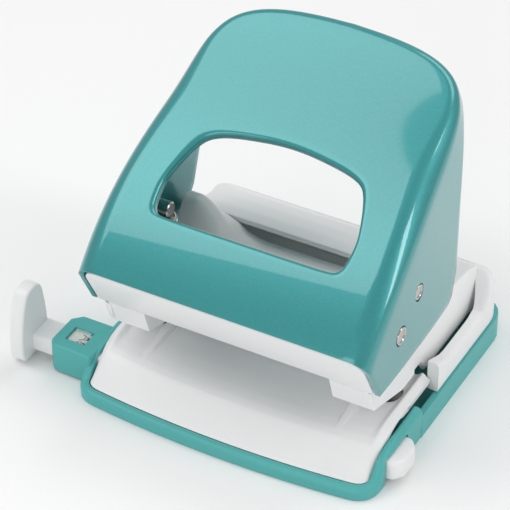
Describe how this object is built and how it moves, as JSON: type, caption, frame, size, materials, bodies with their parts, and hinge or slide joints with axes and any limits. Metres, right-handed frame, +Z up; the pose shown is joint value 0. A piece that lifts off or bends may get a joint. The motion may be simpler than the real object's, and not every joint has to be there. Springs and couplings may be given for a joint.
{
  "type": "hole punch",
  "caption": "Office hole punch with a pressed lever, hand window, slotted paper throat, sliding paper guide, spring-loaded punches and a chip door.",
  "frame": {"origin": "centre of the underside, on the flat floor of the base pan", "axes": "+Z up, +X to the right along the line of the two holes, -Y towards the user, who feeds paper in from the -Y side"},
  "size_m": [0.137, 0.1025, 0.1073],
  "materials": {
    "lever_paint": "glossy metallic teal clear coat",
    "rim_plastic": "satin teal plastic",
    "white_plastic": "satin white plastic",
    "steel": "bright turned steel",
    "spring_steel": "drawn spring wire",
    "clear_lens": "clear polished plastic"
  },
  "bodies": {
    "base": {"base_pan": "rim_plastic", "front_rim": "rim_plastic", "format_lens": "clear_lens", "detent_spring": "spring_steel", "front_plate": "white_plastic", "chassis": "steel", "upper_body": "white_plastic", "inner_cover": "white_plastic", "front_cover": "white_plastic", "screw_front_left": "steel", "screw_front_right": "steel", "screw_rear_left": "steel", "screw_rear_right": "steel", "punch_housing_left": "white_plastic", "punch_housing_right": "white_plastic", "guide_bush_left": "steel", "guide_bush_right": "steel", "die_left": "steel", "die_right": "steel", "spring_left": "spring_steel", "spring_right": "spring_steel"},
    "lever": {"lever": "lever_paint", "pivot_pin_left": "steel", "pivot_pin_right": "steel", "drive_pin_left": "steel", "drive_pin_right": "steel", "pin_clip_left": "spring_steel", "pin_clip_right": "spring_steel"},
    "punch_left": {"punch_left": "steel"},
    "punch_right": {"punch_right": "steel"},
    "guide": {"guide_bar": "white_plastic"},
    "lock": {"lock_slide": "white_plastic"},
    "door": {"chip_door": "rim_plastic"}
  },
  "joints": [
    {"name": "lever_pivot", "type": "hinge", "parent": "base", "child": "lever", "pos_m": [0, -0.0241, 0.0487], "axis": [-1, 0, 0], "range_deg": [0, 26], "stiffness_Nm_per_rad": 0.6, "springref_deg": -28.65},
    {"name": "punch_slide_left", "type": "slide", "parent": "base", "child": "punch_left", "axis": [0, 0, -1], "range_m": [0, 0.0068], "deforming": ["spring_left"]},
    {"name": "punch_slide_right", "type": "slide", "parent": "base", "child": "punch_right", "axis": [0, 0, -1], "range_m": [0, 0.0068], "deforming": ["spring_right"]},
    {"name": "guide_slide", "type": "slide", "parent": "base", "child": "guide", "axis": [-1, 0, 0], "range_m": [-0.006, 0.0745]},
    {"name": "lock_slide_x", "type": "slide", "parent": "base", "child": "lock", "axis": [-1, 0, 0], "range_m": [0, 0.003]},
    {"name": "chip_door_hinge", "type": "hinge", "parent": "base", "child": "door", "pos_m": [0, 0.0436, 0.001], "axis": [1, 0, 0], "range_deg": [0, 70]}
  ],
  "couplings": [
    {"joint": "punch_slide_left", "follows": "lever_pivot", "m_per_rad": 0.0145},
    {"joint": "punch_slide_right", "follows": "lever_pivot", "m_per_rad": 0.0145}
  ]
}
